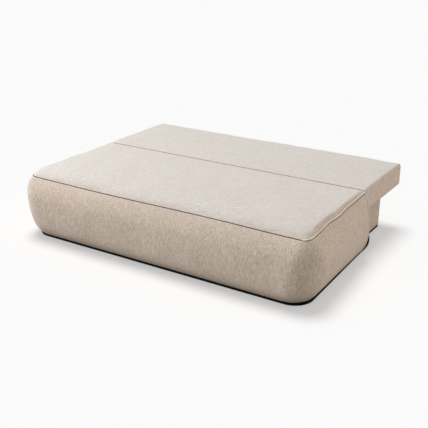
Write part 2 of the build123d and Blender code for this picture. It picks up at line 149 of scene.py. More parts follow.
# Covers of cushion and panel: a sheet sewn down round its edge and blown up a little from inside, as cloth.
# The foam below holds its swell down, and its small folds stay.
cover = {
    "cell": 0.025,
    "steps": 24,
    "weight": 0.4,  # kg per square metre
    "slack": 0.004,
    "pressure": 1.0,
    "stretch": 25,
    "shear": 8,
    "bending": 0.6,
    "unevenness": 0.0005,
    "bumpsPerMetre": 6,
    "slackPlacesPerMetre": 5,
    "blurPasses": 30,
    "swell": 0.005,
    "fold": 0.0012,
}


def blownSheet(low, high, seed):
    # heights of a simulated sheet between two corners
    columns, rows = [round((end - start) / cover["cell"]) for start, end in zip(low, high)]
    across = np.linspace(low[0], high[0], columns + 1)
    along = np.linspace(low[1], high[1], rows + 1)
    points = []
    for y in along:
        for x in across:
            bump = noise.noise(Vector((x * cover["bumpsPerMetre"], y * cover["bumpsPerMetre"], seed)))
            points.append((x, y, cover["unevenness"] * bump))
    firsts = [row * (columns + 1) + column for row in range(rows) for column in range(columns)]
    data = bpy.data.meshes.new("coverSheet")
    data.from_pydata(points, [], [(k, k + 1, k + columns + 2, k + columns + 1) for k in firsts])
    sheet = putInScene("coverSheet", data)
    sewn = sheet.vertex_groups.new(name="sewn")
    eased = sheet.vertex_groups.new(name="eased")
    for k, (x, y, z) in enumerate(points):
        if x in (across[0], across[-1]) or y in (along[0], along[-1]):
            sewn.add([k], 1.0, "REPLACE")
        place = Vector((x * cover["slackPlacesPerMetre"], y * cover["slackPlacesPerMetre"], seed + 9))
        eased.add([k], 0.5 + 0.5 * noise.noise(place), "REPLACE")
    cloth = sheet.modifiers.new("cloth", "CLOTH")
    settings = cloth.settings
    settings.mass = cover["weight"]
    settings.bending_stiffness = cover["bending"]
    settings.shear_stiffness = cover["shear"]
    settings.tension_stiffness = cover["stretch"]
    settings.compression_stiffness = cover["stretch"]
    settings.vertex_group_mass = "sewn"
    settings.vertex_group_shrink = "eased"
    settings.shrink_min = -cover["slack"]
    settings.shrink_max = 0.0
    settings.use_pressure = True
    settings.uniform_pressure_force = cover["pressure"]
    settings.effector_weights.gravity = 0
    cloth.collision_settings.use_collision = False
    cloth.point_cache.frame_end = cover["steps"]
    for step in range(cover["steps"]):
        bpy.context.scene.frame_set(step + 1)
    settled = sheet.evaluated_get(bpy.context.evaluated_depsgraph_get()).data
    heights = np.array([vertex.co.z for vertex in settled.vertices]).reshape(rows + 1, columns + 1)
    bpy.data.objects.remove(sheet)
    bpy.context.scene.frame_set(1)
    swell = heights.copy()
    for _ in range(cover["blurPasses"]):
        swell[1:-1, 1:-1] = (swell[:-2, 1:-1] + swell[2:, 1:-1] + swell[1:-1, :-2] + swell[1:-1, 2:]) / 4
    folds = np.clip(heights - swell, -cover["fold"], cover["fold"])
    return swell / swell.max() * cover["swell"] + folds


def lift(piece, low, high, seed, hold):
    # raises the top of a piece as its simulated cover does
    heights = blownSheet(low, high, seed)
    rows, columns = np.array(heights.shape) - 1
    for vertex in piece.data.vertices:
        across = min(max((vertex.co.x - low[0]) / (high[0] - low[0]), 0), 0.9999) * columns
        along = min(max((vertex.co.y - low[1]) / (high[1] - low[1]), 0), 0.9999) * rows
        i, j = int(across), int(along)
        (nearLeft, nearRight), (farLeft, farRight) = heights[j:j + 2, i:i + 2]
        near = nearLeft + (nearRight - nearLeft) * (across - i)
        far = farLeft + (farRight - farLeft) * (across - i)
        vertex.co.z += hold(vertex.co) * (near + (far - near) * (along - j))
    piece.data.update()


# Seat outlines: the same points at every level of shell and cushion.
outline = {
    "sidePoints": 44,
    "cornerPoints": 18,
    "frontPoints": 110,
    "rearPoints": 60,
}


def seatOutline(frontSide, rearSide, frontOut, radius, depth=bed["seatDepth"]):
    # points from the rear right, round the front, to the rear left, at one level
    lean = math.atan2(frontSide - rearSide, depth - radius)
    centreX = bed["halfWidth"] + frontSide - radius
    centreY = radius - frontOut
    sideX = centreX + radius * math.cos(lean)
    sideY = centreY + radius * math.sin(lean)
    rearX = sideX - (depth - sideY) * math.tan(lean)
    t = np.linspace(0, 1, outline["sidePoints"], endpoint=False)
    side = np.stack([rearX + (sideX - rearX) * t, depth + (sideY - depth) * t], 1)
    turn = np.linspace(lean, -math.pi / 2, outline["cornerPoints"], endpoint=False)
    corner = np.stack([centreX + radius * np.cos(turn), centreY + radius * np.sin(turn)], 1)
    right = np.concatenate([side, corner])
    x = np.linspace(centreX, -centreX, outline["frontPoints"])
    front = np.stack([x, np.full_like(x, -frontOut)], 1)
    left = (right * [-1, 1])[::-1]
    return np.concatenate([right, front, left]) + [0, bed["seamFrontY"]]


def waved(plan, weight):
    # moves the sides of a plan in and out with the seam
    along = plan[:, 1] - seamWave["y"]
    wave = np.sin(along / seamWave["length"] * 2 * math.pi) * np.exp(-(along / seamWave["reach"]) ** 2)
    onSide = np.clip((np.abs(plan[:, 0]) - seamWave["fromX"]) / seamWave["fade"], 0, 1)
    moved = plan.copy()
    moved[:, 0] += np.sign(plan[:, 0]) * wave * onSide * seamWave["height"] * weight
    return moved


def seamHeight(x, y):
    back = y - bed["seamFrontY"]
    sag = sum(depth * np.exp(-((x - place) / width) ** 2) for place, width, depth in seamSag["places"])
    sag = sag * np.exp(-(back / seamSag["reach"]) ** 2)
    return bed["seamFront"] + (bed["seamRear"] - bed["seamFront"]) * back / bed["seatDepth"] - sag


# Padded shell round the seat: bulging sides and front, rolled into the seam at its top.
shell = {
    "sideBulge": 0.080,
    "frontBulge": 0.062,
    "cornerRadius": 0.160,
    "seamRadius": 0.045,
    "levels": 46,
    "smoothing": 6,
    "tiltFrom": 0.5,  # above this share of its height the levels tilt towards the seam
    "waveFrom": 0.8,  # and above this one they follow its wave
    "rollIn": 0.007,  # the edge rolls into the seam
    "rollSteps": [(0.4, 0.3), (1.0, 1.4)],  # inwards, down, as shares of that
    "seamDepth": 2,  # the groove behind the roll, as a share of it too
    # height, side by the front corners, side at the rear, front and corner radius, as shares
    "shares": [
        (0.00, -0.02, -0.13, 0.27, 0.75), (0.03, 0.11, -0.01, 0.44, 0.79),
        (0.09, 0.35, 0.14, 0.68, 0.85), (0.18, 0.58, 0.33, 0.82, 0.92),
        (0.30, 0.75, 0.46, 0.92, 0.97), (0.42, 0.87, 0.52, 0.98, 0.99),
        (0.55, 0.95, 0.53, 1.00, 1.00), (0.68, 0.98, 0.47, 0.98, 0.97),
        (0.77, 0.91, 0.39, 0.86, 0.86), (0.85, 0.76, 0.29, 0.65, 0.70),
        (0.91, 0.56, 0.18, 0.44, 0.55), (0.96, 0.33, 0.07, 0.21, 0.41),
        (1.00, 0.10, -0.05, 0.00, 0.28),
    ],
    "ripples": [(0.0045, 0.22, 3), (0.0008, 0.06, 5)],  # height, width, seed
}
seamSide, seamRearSide = [share * shell["sideBulge"] for share in shell["shares"][-1][1:3]]
seamOutline = waved(seatOutline(seamSide, seamRearSide, 0, shell["seamRadius"]), 1)


def shellLevels():
    table = np.array(shell["shares"])
    heights = np.linspace(0, 1, shell["levels"])
    columns = [smoothed(np.interp(heights, table[:, 0], table[:, k]), shell["smoothing"]) for k in range(1, 5)]
    levels = []
    for h, side, rearSide, front, corner in zip(heights, *columns):
        plan = seatOutline(side * shell["sideBulge"], rearSide * shell["sideBulge"],
                           front * shell["frontBulge"], corner * shell["cornerRadius"])
        plan = waved(plan, softStep(h, shell["waveFrom"], 1.0))
        flat = bed["plinth"] + h * (bed["seamFront"] - bed["plinth"])
        tilt = max(h - shell["tiltFrom"], 0) / (1 - shell["tiltFrom"])
        z = flat + tilt ** 2 * (seamHeight(plan[:, 0], plan[:, 1]) - bed["seamFront"])
        levels.append(np.column_stack([plan, z]))
    return levels


def wallPoint(x, y):
    # the nearest place on the inside of the shell
    return (min(max(x, -bed["frameHalf"]), bed["frameHalf"]), max(y, bed["frameFrontY"]))


levels = shellLevels()
middle = levels[len(levels) // 2]
rollIn = shell["rollIn"]
loops = []
for i in range(len(middle)):
    loop = [level[i] for level in levels]
    edge = Vector(loop[-1])
    innerX, innerY = wallPoint(middle[i][0], middle[i][1])
    inward = Vector((innerX - edge.x, innerY - edge.y, 0))
    inward = inward.normalized() if inward.length > 1e-6 else Vector((0, 1, 0))
    for inShare, downShare in shell["rollSteps"]:
        loop.append(edge + inward * rollIn * inShare + Vector((0, 0, -rollIn * downShare)))
    seamFloor = edge.z - rollIn * shell["seamDepth"]
    for t in (1.0, 0.66, 0.33, 0.0):  # down the inside
        loop.append((innerX, innerY, bed["plinth"] + t * (seamFloor - bed["plinth"])))
    loops.append(loop)
seatShell = skinLoops("seatShellPad", loops, weld=0.00001)


def shellGive(point):
    # the outside gives, less towards the plinth, the seam and the rear edge, and the inside stays
    inside = abs(point.x) < bed["frameHalf"] + 0.004 and point.y > bed["frameFrontY"] - 0.004
    if inside:
        return 0
    abovePlinth = softStep(point.z, 0.02, 0.08)
    belowSeam = 1 - softStep(point.z, 0.35, 0.385)
    beforeRear = 1 - softStep(point.y, 0.06, 0.10)
    return abovePlinth * belowSeam * beforeRear


for height, width, seed in shell["ripples"]:
    ripple(seatShell, height, width, seed, shellGive)
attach(seatShell, "seat")
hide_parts("seat_shell")
print("stage: seat shell", len(seatShell.data.vertices))

# Seat cushion: crowned, rolling down to the seam, more steeply at the sides than at the front.
cushion = {
    "frontCrown": 0.110,
    "sideCrown": 0.031,
    "crownRadius": 0.060,
    "rearRounding": 0.012,
    "waveLoss": 0.3,  # the seam's wave fades towards the top
    "coreBottom": 0.3083,
    "coreUnderSeam": 0.010,
    "gapToSides": 0.0004,  # between its core and the shell
    "gapToFront": 0.0003,
    "rearBoard": 0.0105,  # room for the rear rail and its cover
    "tuck": 0.005,  # its edge turns in under the crown and down into the seam
    "tuckLean": [0.4, 1, 0],  # more along y than along x
    "tuckSteps": [(1.0, 0.009), (0.6, 0.004), (0.2, 0.001)],  # share of the tuck, down
    "frontShares": [  # rise from the seam to the top, inset
        (0.00, 0.00), (0.20, 0.08), (0.40, 0.17), (0.60, 0.29), (0.75, 0.40),
        (0.87, 0.54), (0.95, 0.69), (0.99, 0.85), (1.00, 1.00),
    ],
    "sideShares": [
        (0.00, 0.00), (0.20, 0.08), (0.40, 0.18), (0.60, 0.31), (0.75, 0.44),
        (0.87, 0.58), (0.95, 0.73), (0.99, 0.88), (1.00, 1.00),
    ],
    "rearShares": [(0.00, 0.00), (0.14, 0.00), (0.57, 0.13), (0.86, 0.45), (1.00, 1.00)],
    "smoothing": 3,
    "crownRings": 24,
    "ringSpread": 1.6,  # above 1 the rings stand closer towards the top
    "ringsToMiddle": 40,
    "seed": 11,
    "ripples": [(0.0030, 0.30, 11), (0.0012, 0.07, 13)],  # height, width, seed
}


def closedRear(ring):
    # adds the straight rear edge to a ring, from the left back to the right
    t = np.linspace(0, 1, outline["rearPoints"] + 2)[1:-1, None]
    return np.concatenate([ring, ring[-1] + t * (ring[0] - ring[-1])])


def cushionRing(rise, frontInset, sideInset):
    front = frontInset * cushion["frontCrown"]
    side = sideInset * cushion["sideCrown"]
    depth = bed["seatDepth"] - np.interp(rise, *np.array(cushion["rearShares"]).T) * cushion["rearRounding"]
    radius = shell["seamRadius"] + frontInset * (cushion["crownRadius"] - shell["seamRadius"])
    plan = seatOutline(seamSide - side, seamRearSide - side, -front, radius, depth)
    plan = waved(plan, 1 - cushion["waveLoss"] * sideInset)
    low = seamHeight(plan[:, 0], plan[:, 1])
    return closedRear(np.column_stack([plan, low + rise * (bed["top"] - low)]))


core = closedRear(np.array([(*wallPoint(x, y), 0.0) for x, y in seamOutline]))
coreHalf = bed["frameHalf"] - cushion["gapToSides"]
coreFront = bed["frameFrontY"] + cushion["gapToFront"]
coreRear = bed["seatRearY"] - cushion["rearBoard"]
core[:, 0] = np.clip(core[:, 0], -coreHalf, coreHalf)
core[:, 1] = np.clip(core[:, 1], coreFront, coreRear)
bottom = core.copy()
bottom[:, 2] = cushion["coreBottom"]
under = core.copy()
under[:, 2] = seamHeight(core[:, 0], core[:, 1]) - cushion["coreUnderSeam"]
middleOfTop = np.array([0, (bed["seamFrontY"] + bed["seatRearY"]) / 2, bed["top"]])
rises = 1 - np.linspace(1, 0, cushion["crownRings"]) ** cushion["ringSpread"]
frontInsets, sideInsets = [smoothed(np.interp(rises, *np.array(cushion[key]).T), cushion["smoothing"])
                           for key in ("frontShares", "sideShares")]
rings = [bottom, under]
edge = cushionRing(0, 0, 0)
tuckWay = (middleOfTop - edge) * cushion["tuckLean"]
tuckWay /= np.linalg.norm(tuckWay, axis=1)[:, None]
for inShare, down in cushion["tuckSteps"]:
    rings.append(edge + tuckWay * cushion["tuck"] * inShare - [0, 0, down])
for rise, frontInset, sideInset in zip(rises[1:], frontInsets[1:], sideInsets[1:]):
    rings.append(cushionRing(rise, frontInset, sideInset))
for k in range(1, cushion["ringsToMiddle"]):
    rings.append(rings[-1] + (middleOfTop - rings[-1]) / (cushion["ringsToMiddle"] - k + 1))
seatCushion = skinLoops("seatCushionPad", rings, weld=0.00001)


def cushionGive(point):
    # the top gives, less towards the seam and the rear edge
    aboveSeam = point.z - seamHeight(point.x, point.y)
    return (1 - softStep(point.y, 0.05, 0.10)) * softStep(aboveSeam, 0.001, 0.02)


lift(seatCushion, (-bed["halfWidth"], bed["seamFrontY"]), (bed["halfWidth"], bed["seatRearY"]),
     cushion["seed"], cushionGive)
for height, width, seed in cushion["ripples"]:
    ripple(seatCushion, height, width, seed, cushionGive)
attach(seatCushion, "seat")
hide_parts("seat_cushion")
print("stage: seat cushion", len(seatCushion.data.vertices))

# Seam: self-piping that stands up at the sides, and a dark brown line outside it: painted shade in the groove
# along the front, and the piping's painted shadow along the sides.
# Out and up are from the seam itself, first along the front, then along the sides.
seamTrim = {
    "pipingRadius": 0.0045,
    "pipingOut": (-0.0050, 0.0000),
    "pipingUp": (-0.0045, 0.0035),
    # the dark line: painted shade in the groove along the front, the piping's painted shadow along the sides
    "shadeLineRadius": 0.0020,
    "shadeLineOut": (0.0006, 0.0024),
    "shadeLineUp": (0.0004, -0.0030),
    "wobble": 0.0012,
    "seed": 4,
    "sideFromX": (0.905, 0.950),  # here the line turns from front to side, round the right corner
    "sideFromFront": (0.005, 0.07),  # and here, back from the front edge
    "edgeRadius": 0.0040,  # piping down the shell's rear edges
    "edgeOut": 0.0008,
    "edgeForward": 0.0012,
}


def seamLine(out, up):
    # a line along the seam, which wanders a little as sewn work does
    sideFromY = [bed["seamFrontY"] + back for back in seamTrim["sideFromFront"]]
    line = []
    for x, y in seamOutline:
        side = max(softStep(x, *seamTrim["sideFromX"]), softStep(y, *sideFromY))
        wander = seamTrim["wobble"] * noise.noise(Vector((x * 4, y * 7, seamTrim["seed"])))
        aside = out[0] + (out[1] - out[0]) * side + wander * side
        raised = up[0] + (up[1] - up[0]) * side + wander
        push = Vector((math.copysign(side, x), side - 1, 0)) * aside
        line.append(Vector((x, y, seamHeight(x, y) + raised)) + push)
    return line


pipingLine = seamLine(seamTrim["pipingOut"], seamTrim["pipingUp"])
seatPiping = tube("seatSeamPiping", pipingLine, seamTrim["pipingRadius"])
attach(seatPiping, "seat")
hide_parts("seat_piping")
seamShadeLinePath = seamLine(seamTrim["shadeLineOut"], seamTrim["shadeLineUp"])
seamShadeLine = tube("seatSeamPaintedShadeLine", seamShadeLinePath, seamTrim["shadeLineRadius"])
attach(seamShadeLine, "seat")
edgePipings = []
for end, name in ((0, "Right"), (-1, "Left")):
    line = []
    for level in levels[1:]:
        point = Vector(level[end])
        line.append(point + Vector((math.copysign(seamTrim["edgeOut"], point.x), -seamTrim["edgeForward"], 0)))
    edgePiping = tube(f"shellEdgePiping{name}", line, seamTrim["edgeRadius"])
    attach(edgePiping, "seat")
    edgePipings.append(edgePiping)
print("stage: piping and stitched line")

# Cover over the seat's rear rail.
rearCover = {
    "halfWidth": 0.9047,
    "lowY": 0.0945,
    "highY": 0.1029,
    "bottom": 0.272,
    "top": 0.402,
    "edge": 0.004,
    "endReach": 0.012,  # its ends draw in over this length
    "endInset": 0.003,
}
loops = []
for x in np.linspace(-rearCover["halfWidth"], rearCover["halfWidth"], 60):
    full = softStep(rearCover["halfWidth"] - abs(x), 0, rearCover["endReach"])
    inset = rearCover["endInset"] * (1 - full)
    back, face, edge = rearCover["lowY"], rearCover["highY"] - inset, rearCover["edge"]
    lowZ = rearCover["bottom"] + inset
    highZ = rearCover["top"] - inset
    loop = [(x, back, lowZ), (x, face - edge / 2, lowZ), (x, face, lowZ + edge)]
    loop += [(x, face, lowZ + (highZ - lowZ) * t) for t in (0.25, 0.5, 0.75)]
    loop += [(x, face, highZ - edge), (x, face - edge / 2, highZ), (x, back, highZ)]
    loops.append(loop)
seatRearCover = skinLoops("seatRearCoverPad", loops)
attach(seatRearCover, "seat")
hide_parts("seat_rear_cover")

# Back panel: a plain pad round a timber ladder, its front edge rounded down to the seat.
panel = {
    "halfWidth": 0.950,
    "frontY": 0.1085,
    "rearY": 0.7225,
    "top": 0.418,
    "bottom": 0.273,
    "nose": 0.050,  # upright height of its front edge
    "heel": 0.062,  # how far its front slopes back underneath
    "radii": (0.020, 0.020, 0.019, 0.030, 0.030),
    "profileStep": 0.008,
    "endRadius": 0.018,
    "frontDip": 0.010,  # its front edge lies a little lower than the seat
    "dipReach": 0.085,
    "seed": 21,
    "ripples": [(0.0030, 0.26, 21), (0.0015, 0.07, 23)],  # height, width, seed
    "frameHollow": ((-0.920, 0.2085, 0.25), (0.920, 0.7025, 0.363)),
    "hingeSlots": [
        ((-0.712, 0.09, 0.25), (-0.688, 0.2135, 0.405)),
        ((0.688, 0.09, 0.25), (0.712, 0.2135, 0.405)),
    ],
    # a dark line of painted shade for the gap between seat and panel
    "shadeLineRadius": 0.0022,
    "gapShadeBack": 0.0120,  # the painted shade line of the seat-panel gap on its front edge, from the front
    "gapShadeDrop": (0.016, 0.045),  # and where it runs down the front corners, from the top
}


def roundedProfile(corners, radii, spacing):
    # an evenly spaced closed line through corners that are rounded
    corners = [Vector(corner) for corner in corners]
    line = []
    for i, (corner, radius) in enumerate(zip(corners, radii)):
        before = (corners[i - 1] - corner).normalized()
        after = (corners[(i + 1) % len(corners)] - corner).normalized()
        halfAngle = before.angle(after) / 2
        reach = radius / math.tan(halfAngle)
        centre = corner + (before + after).normalized() * radius / math.sin(halfAngle)
        start = corner + before * reach - centre
        end = corner + after * reach - centre
        turn = start.angle(end)
        for t in np.linspace(0, 1, 9):
            onArc = (start * math.sin((1 - t) * turn) + end * math.sin(t * turn)) / math.sin(turn)
            line.append(centre + onArc)
    line.append(line[0])
    steps = [(after - before).length for before, after in zip(line[:-1], line[1:])]
    lengths = np.concatenate([[0], np.cumsum(steps)])
    wanted = np.linspace(0, lengths[-1], int(lengths[-1] / spacing), endpoint=False)
    return np.stack([np.interp(wanted, lengths, [point[k] for point in line]) for k in range(2)], 1)


profile = roundedProfile(
    [(panel["frontY"], panel["top"]), (panel["rearY"], panel["top"]), (panel["rearY"], panel["bottom"]),
     (panel["frontY"] + panel["heel"], panel["bottom"]), (panel["frontY"], panel["top"] - panel["nose"])],
    panel["radii"], panel["profileStep"])
tangent = np.roll(profile, -1, 0) - np.roll(profile, 1, 0)
outward = np.stack([-tangent[:, 1], tangent[:, 0]], 1) / np.linalg.norm(tangent, axis=1)[:, None]
# a little behind the middle, because of the heel
profileMiddle = np.array([(panel["frontY"] + panel["rearY"]) / 2 + 0.01, (panel["top"] + panel["bottom"]) / 2])


def panelLoop(x, inset, shrink):
    # the profile, moved in all round and then shrunk to its middle
    line = profile - outward * inset
    line = line + (profileMiddle - line) * shrink
    return [(x, y, z) for y, z in line]


endX, endRadius = panel["halfWidth"], panel["endRadius"]
ends = [(0, endRadius, shrink) for shrink in (0.9, 0.75, 0.6, 0.45, 0.3, 0.15, 0.05)]
for turn in np.linspace(0, math.pi / 2, 7):
    ends.append((endRadius * (1 - math.cos(turn)), endRadius * (1 - math.sin(turn)), 0.0))
loops = [panelLoop(-endX + fromEnd, inset, shrink) for fromEnd, inset, shrink in ends]
loops += [panelLoop(x, 0.0, 0.0) for x in np.linspace(-endX + endRadius, endX - endRadius, 130)[1:-1]]
loops += [panelLoop(endX - fromEnd, inset, shrink) for fromEnd, inset, shrink in reversed(ends)]
backPad = skinLoops("backPanelPad", loops)


def lyingGive(point):
    return softStep(point.z, 0.38, 0.41)


def panelGive(point):
    # only the lying surface and the ends give, the heel and the underside stay clear of the frame
    return softStep(point.z, 0.33, 0.40) * softStep(point.y, 0.115, 0.16)


for vertex in backPad.data.vertices:
    if vertex.co.z > 0.39:
        intoDip = max(1 - (vertex.co.y - panel["frontY"]) / panel["dipReach"], 0)
        vertex.co.z -= panel["frontDip"] * intoDip ** 2 * softStep(vertex.co.z, 0.39, 0.41)
backPad.data.update()
lift(backPad, (-panel["halfWidth"], panel["frontY"]), (panel["halfWidth"], panel["rearY"]),
     panel["seed"], lyingGive)
for height, width, seed in panel["ripples"]:
    ripple(backPad, height, width, seed, panelGive)


def cutBox(piece, low, high):
    # takes a square hollow out of a piece
    data = bpy.data.meshes.new("cutter")
    box = bmesh.new()
    bmesh.ops.create_cube(box, size=1.0)
    for vertex in box.verts:
        vertex.co = Vector([(start + end) / 2 + (end - start) * share
                            for start, end, share in zip(low, high, vertex.co)])
    box.to_mesh(data)
    box.free()
    cutter = putInScene("cutter", data)
    cut = piece.modifiers.new("cut", "BOOLEAN")
    cut.operation = "DIFFERENCE"
    cut.object = cutter
    cut.solver = "MANIFOLD"
    bpy.context.view_layer.objects.active = piece
    with bpy.context.temp_override(object=piece, active_object=piece):
        bpy.ops.object.modifier_apply(modifier=cut.name)
    bpy.data.objects.remove(cutter)


for low, high in (panel["frameHollow"], *panel["hingeSlots"]):
    cutBox(backPad, low, high)
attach(backPad, "backrest")
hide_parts("back_pad")

# A thin dark line of painted shade, for the gap between seat and panel, lies on the pad along its front edge
# and down its front corners.
surface = BVHTree.FromPolygons([vertex.co for vertex in backPad.data.vertices],
                               [face.vertices for face in backPad.data.polygons])
toLeft, toRight, down = Vector((-1, 0, 0)), Vector((1, 0, 0)), Vector((0, 0, -1))
gapShadeY = panel["frontY"] + panel["gapShadeBack"]
path = []
for x in np.linspace(-endX + endRadius, endX - endRadius, 120):
    above = Vector((x, gapShadeY, panel["top"] + 0.05))
    path.append(surface.ray_cast(above, down)[0])
cornerY = panel["frontY"] + panel["gapShadeBack"] * 0.7
dropFrom, dropTo = [panel["top"] - drop for drop in panel["gapShadeDrop"]]
dropPoints = [Vector((1.0, cornerY, z)) for z in np.linspace(dropFrom, dropTo, 6)]
rightEnd = [surface.ray_cast(point, toLeft)[0] for point in dropPoints]
leftEnd = [surface.ray_cast(point * Vector((-1, 1, 1)), toRight)[0] for point in dropPoints]
panelGapShadeLine = tube("panelFrontPaintedShadeLine", leftEnd[::-1] + path + rightEnd, panel["shadeLineRadius"], sides=8)
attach(panelGapShadeLine, "backrest")
print("stage: back panel", len(backPad.data.vertices))

# Dust cloth, stapled over the panel's underside.
underCloth = {
    "halfWidth": 0.9195,
    "frontY": 0.2090,
    "rearY": 0.7020,
    "z": 0.2741,
    "columns": 48,
    "rows": 14,
    "waviness": 0.0004,
}
columns, rows = underCloth["columns"], underCloth["rows"]
clothMesh = bmesh.new()
grid = []
for i in range(columns + 1):
    x = -underCloth["halfWidth"] + 2 * underCloth["halfWidth"] * i / columns
    line = []
    for j in range(rows + 1):
        y = underCloth["frontY"] + (underCloth["rearY"] - underCloth["frontY"]) * j / rows
        z = underCloth["z"] + underCloth["waviness"] * noise.noise(Vector((i * 0.35, j * 0.4, 2)))
        line.append(clothMesh.verts.new((x, y, z)))
    grid.append(line)
for i in range(columns):
    for j in range(rows):
        clothMesh.faces.new((grid[i][j], grid[i][j + 1], grid[i + 1][j + 1], grid[i + 1][j]))
dustCloth = softPiece("panelDustCloth", clothMesh)
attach(dustCloth, "backrest")
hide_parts("back_cloth")

# Rear base: padded cover on three sides, and the pad that the panel lies on.
base = {
    "halfWidth": 0.871,
    "frontY": -0.1915,
    "rearY": 0.6185,
    "bottom": 0.020,
    "top": 0.250,
    "height": 0.230,
    "corner": 0.020,
    "cover": 0.008,
    "lowEdge": [(0.0, 0.003), (0.001, 0.0012), (0.004, 0.0)],  # height, inset
    "ripple": (0.0025, 0.16, 31),  # height, width, seed
}
# Places round the cover from the front left, by the rear, to the front right, with the way that they face.
cornerX, cornerY = base["halfWidth"] - base["corner"], base["rearY"] - base["corner"]
leftSide = [(-base["halfWidth"], y, -1, 0) for y in np.linspace(base["frontY"], cornerY, 40)]
for turn in np.linspace(math.pi, math.pi / 2, 7)[1:]:
    faceX, faceY = math.cos(turn), math.sin(turn)
    leftSide.append((-cornerX + base["corner"] * faceX, cornerY + base["corner"] * faceY, faceX, faceY))
rear = [(x, base["rearY"], 0, 1) for x in np.linspace(-cornerX, cornerX, 90)[1:-1]]
rightSide = [(-x, y, -faceX, faceY) for x, y, faceX, faceY in reversed(leftSide)]
edgeLevels = [(height, inset) for height, inset in base["lowEdge"]]
edgeLevels += [(t * base["height"], 0.0) for t in np.linspace(0.06, 0.94, 12)]
edgeLevels += [(base["height"] - height, inset) for height, inset in reversed(base["lowEdge"])]
boardHalf, boardRear = base["halfWidth"] - base["cover"], base["rearY"] - base["cover"]
loops = []
for x, y, faceX, faceY in leftSide + rear + rightSide:
    loop = [(x - faceX * inset, y - faceY * inset, base["bottom"] + height) for height, inset in edgeLevels]
    innerX, innerY = min(max(x, -boardHalf), boardHalf), min(y, boardRear)
    for z in (base["top"], (base["top"] + base["bottom"]) / 2, base["bottom"]):
        loop.append((innerX, innerY, z))
    loops.append(loop)
baseCover = skinLoops("baseCoverPad", loops, weld=0.00001)


def baseGive(point):
    # the outside gives, less towards its edges and the seat, and the inside stays on the boards
    if abs(point.x) < boardHalf + 0.002 and point.y < boardRear + 0.002:
        return 0
    upright = softStep(point.z, 0.02, 0.06) * (1 - softStep(point.z, 0.21, 0.245))
    return upright * softStep(point.y, -0.18, -0.1)


ripple(baseCover, *base["ripple"], baseGive)
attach(baseCover, "base")
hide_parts("base_cover")

pad = {
    "halfWidth": 0.871,
    "frontY": 0.5685,
    "rearY": 0.6185,
    "bottom": 0.2508,
    "top": 0.2727,
    "corner": 0.020,
    "smallestCorner": 0.004,
    "rounding": 0.014,  # of its upper edges
}


def padRing(inset, z):
    # one level of the support pad, with round rear corners
    halfX, frontY, rearY = pad["halfWidth"] - inset, pad["frontY"] + inset, pad["rearY"] - inset
    corner = max(pad["corner"] - inset, pad["smallestCorner"])
    innerX, innerY = halfX - corner, rearY - corner
    turns = np.linspace(0, math.pi / 2, 6)[1:]
    line = [(x, frontY, z) for x in np.linspace(-halfX, halfX, 80)]
    line += [(halfX, y, z) for y in np.linspace(frontY, innerY, 8)[1:]]
    line += [(innerX + corner * math.cos(turn), innerY + corner * math.sin(turn), z) for turn in turns]
    line += [(x, rearY, z) for x in np.linspace(innerX, -innerX, 80)[1:]]
    line += [(-innerX - corner * math.sin(turn), innerY + corner * math.cos(turn), z) for turn in turns]
    line += [(-halfX, y, z) for y in np.linspace(innerY, frontY, 8)[1:-1]]
    return line


loops = [padRing(0.012, pad["bottom"]), padRing(0.002, pad["bottom"]), padRing(0.0, pad["bottom"] + 0.002)]
for turn in np.linspace(0, math.pi / 2, 7):
    inset, drop = pad["rounding"] * (1 - math.cos(turn)), pad["rounding"] * (1 - math.sin(turn))
    loops.append(padRing(inset, pad["top"] - drop))
loops.append(padRing(0.019, pad["top"]))
supportPad = skinLoops("baseSupportPad", loops)
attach(supportPad, "base")
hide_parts("rear_support_pad")
print("stage: rear base")


def colour(hexCode):
    # sRGB hex to linear RGBA
    linear = []
    for i in (1, 3, 5):
        value = int(hexCode[i:i + 2], 16) / 255
        linear.append(value / 12.92 if value <= 0.04045 else ((value + 0.055) / 1.055) ** 2.4)
    return (*linear, 1.0)


def addNode(tree, kind, links=None, **settings):
    # one node, its inputs linked or set, its properties set
    node = tree.nodes.new(kind)
    for key, value in settings.items():
        setattr(node, key, value)
    for key, value in (links or {}).items():
        if isinstance(value, bpy.types.NodeSocket):
            tree.links.new(value, node.inputs[key])
        else:
            node.inputs[key].default_value = value
    return node


def startMaterial(name, shaderValues):
    material = bpy.data.materials.new(name)
    material.use_nodes = True
    tree = material.node_tree
    shader = tree.nodes["Principled BSDF"]
    for key, value in shaderValues.items():
        shader.inputs[key].default_value = value
    return material, tree, shader


def millimetres(size):
    # noise scale whose pattern repeats about every size millimetres
    return 1000.0 / size


# Chenille weave: cut pile on soft yarns. It is matt and a little cloudy, and its yarns show as short fine
# streaks. Light and shade are painted into its colour: paler where it faces up, as lit from above, and darker
# where it faces aside, as shade.
fabric = {
    "cloud": 75,  # mm, patches where the pile lies another way
    "yarn": 7,  # mm, real yarns are about 2 mm apart, drawn coarser so that they show
    "yarnRun": 30,
    "fleck": 4,
    "cloudShare": 0.05,
    "yarnShare": 0.42,
    "lying": ("#cec4ba", "#ded5cc", "#ece5dd"),
    "paintedShadedSides": ("#bba692", "#d6c3b0", "#efddcb"),
    # paler than the cloth it is cut from: a painted highlight on the raised piping
    "piping": ("#e6d8ca", "#f0e4d7", "#f7eee4"),
    "pileHeight": 0.0016,
    "paintedLightFacingUp": (0.50, 0.975),  # how far the cloth faces up where the painted light from above starts, and where it is full
    "paintedShadeFacingAside": (0.25, 0.85),  # how far it faces aside where the painted side shade starts, and where it is full
}


